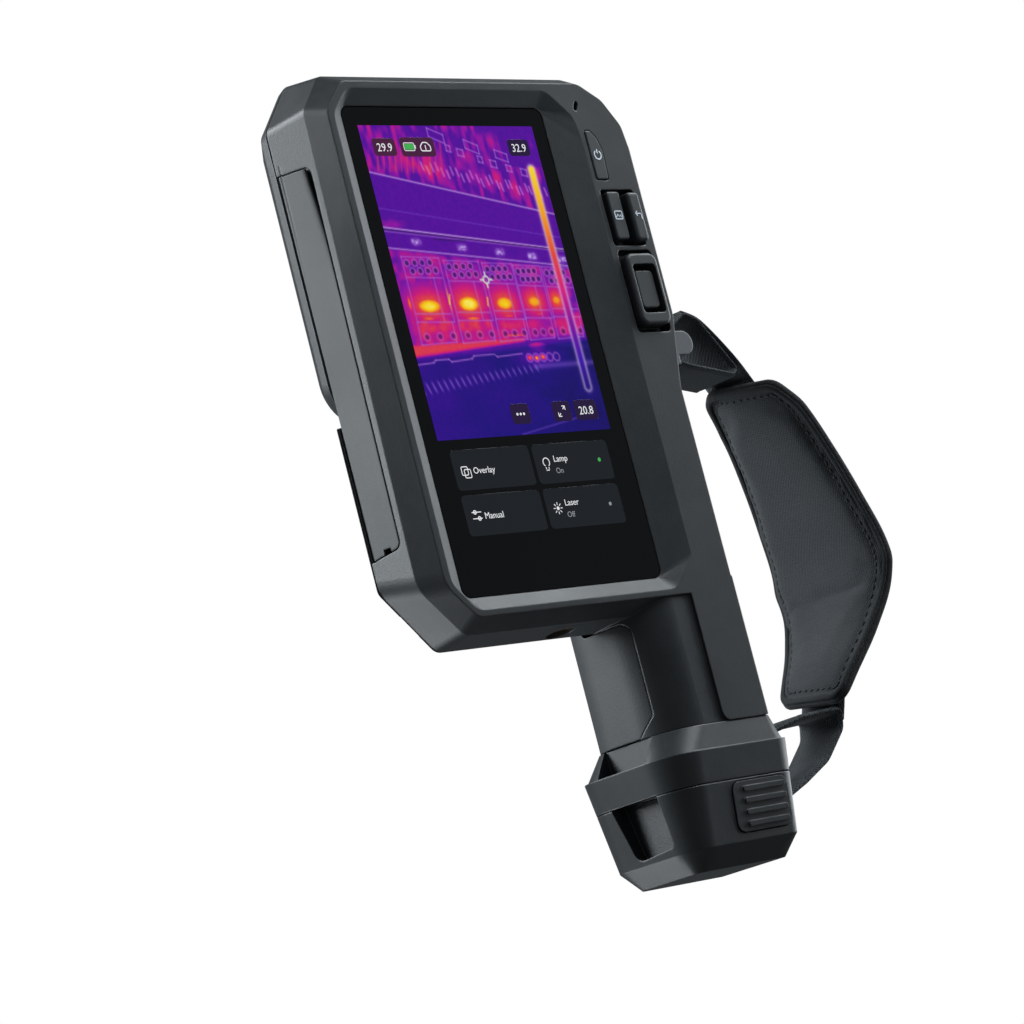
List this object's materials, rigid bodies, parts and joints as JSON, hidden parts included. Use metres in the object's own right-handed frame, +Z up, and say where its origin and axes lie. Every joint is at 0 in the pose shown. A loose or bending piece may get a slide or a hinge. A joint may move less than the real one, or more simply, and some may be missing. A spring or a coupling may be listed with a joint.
{
  "type": "thermal imaging camera",
  "caption": "Handheld thermal camera with a tall touch screen, side button strip, pistol grip with slide-out battery foot, front lens and a padded hand strap.",
  "frame": {"origin": "centre of the flat underside of the battery foot", "axes": "+Z up the grip, the screen faces -Y, the lens faces +Y, +X to the right of someone looking at the screen"},
  "size_m": [0.1808, 0.0577, 0.2386],
  "materials": {
    "shell": "fine moulded texture, charcoal",
    "grip": "soft-touch, fine grain",
    "latch": "satin, ribbed",
    "door": "matt elastomer",
    "ring": "knurled, matt",
    "barrel": "black anodised",
    "screen": "gloss, black border",
    "panel": "lit display",
    "gasket": "foam",
    "chassis": "die cast",
    "board": "solder resist",
    "core": "black",
    "lens": "coated germanium",
    "optics": "gloss black",
    "window": "clear",
    "lamp": "clear, faceted",
    "brass": "turned",
    "steel": "plain",
    "key": "satin silicone",
    "switch": "plain",
    "cell": "heat-shrink sleeve",
    "lug": "satin",
    "webbing": "ribbed webbing",
    "pad": "woven cover over foam"
  },
  "bodies": {
    "body": {"camera_window": "window", "card_slot": "steel", "chassis_plate": "chassis", "contact_block": "switch", "cover_glass": "screen", "cover_screws": "steel", "display_gasket": "gasket", "display_panel": "panel", "grip_shell": "grip", "handle_collar": "shell", "infrared_lens": "lens", "key_board": "board", "key_mat": "gasket", "lamp_board": "board", "lamp_lenses": "lamp", "laser_module": "brass", "lens_barrel": "barrel", "lens_housing": "shell", "lower_cover": "shell", "main_board": "board", "nose_screws": "steel", "optics_panel": "optics", "port_door_pin": "steel", "rear_housing": "shell", "speaker": "switch", "strap_lower": "webbing", "strap_lug": "lug", "strap_pad": "pad", "strap_upper": "webbing", "thermal_core": "core", "trigger_pin": "steel", "trigger_switch": "switch", "tripod_insert": "brass", "usb_socket": "steel", "video_socket": "steel", "visual_camera": "core"},
    "power_button": {"power_button": "key"},
    "gallery_button": {"gallery_button": "key"},
    "back_button": {"back_button": "key"},
    "select_button": {"select_button": "key"},
    "nav_gimbal": {"nav_gimbal": "key"},
    "nav_ring": {"nav_ring": "key"},
    "trigger": {"trigger": "grip"},
    "focus_ring": {"focus_ring": "ring"},
    "port_door": {"port_door": "door"},
    "battery": {"battery_case": "shell", "battery_cells": "cell", "battery_contacts": "brass", "battery_seal": "gasket", "latch_spring": "steel"},
    "battery_latch": {"battery_latch": "latch"}
  },
  "joints": [
    {"name": "power_press", "type": "slide", "parent": "body", "child": "power_button", "axis": [0, 1, 0], "range_m": [0, 0.0005], "stiffness_N_per_m": 1200, "springref_m": -0.0003},
    {"name": "gallery_press", "type": "slide", "parent": "body", "child": "gallery_button", "axis": [0, 1, 0], "range_m": [0, 0.0005], "stiffness_N_per_m": 1200, "springref_m": -0.0003},
    {"name": "back_press", "type": "slide", "parent": "body", "child": "back_button", "axis": [0, 1, 0], "range_m": [0, 0.0005], "stiffness_N_per_m": 1200, "springref_m": -0.0003},
    {"name": "select_press", "type": "slide", "parent": "body", "child": "select_button", "axis": [0, 1, 0], "range_m": [0, 0.0005], "stiffness_N_per_m": 1200, "springref_m": -0.0003},
    {"name": "nav_tilt_up_down", "type": "hinge", "parent": "body", "child": "nav_gimbal", "pos_m": [0.0151, -0.01625, 0.1685], "axis": [1, 0, 0], "range_deg": [-2.5, 2.5], "stiffness_Nm_per_rad": 0.25},
    {"name": "nav_tilt_sideways", "type": "hinge", "parent": "nav_gimbal", "child": "nav_ring", "pos_m": [0.0151, -0.017, 0.1685], "axis": [0, 0, 1], "range_deg": [-3, 3], "stiffness_Nm_per_rad": 0.2},
    {"name": "trigger_pull", "type": "hinge", "parent": "body", "child": "trigger", "pos_m": [0.001, 0.0134, 0.132], "axis": [-1, 0, 0], "range_deg": [0, 6], "stiffness_Nm_per_rad": 1.2, "springref_deg": -2.86},
    {"name": "focus_turn", "type": "hinge", "parent": "body", "child": "focus_ring", "pos_m": [-0.042, 0.024, 0.19], "axis": [0, -1, 0], "range_deg": [-20, 100]},
    {"name": "door_swing", "type": "hinge", "parent": "body", "child": "port_door", "pos_m": [-0.096, 0.0005, 0.1557], "axis": [0, 0, -1], "range_deg": [0, 90]},
    {"name": "battery_slide", "type": "slide", "parent": "body", "child": "battery", "axis": [0, 0, -1], "range_m": [0, 0.06]},
    {"name": "latch_press", "type": "slide", "parent": "battery", "child": "battery_latch", "axis": [0, 0.9917, 0.1288], "range_m": [0, 0.0011], "stiffness_N_per_m": 1500, "springref_m": -0.0003}
  ]
}
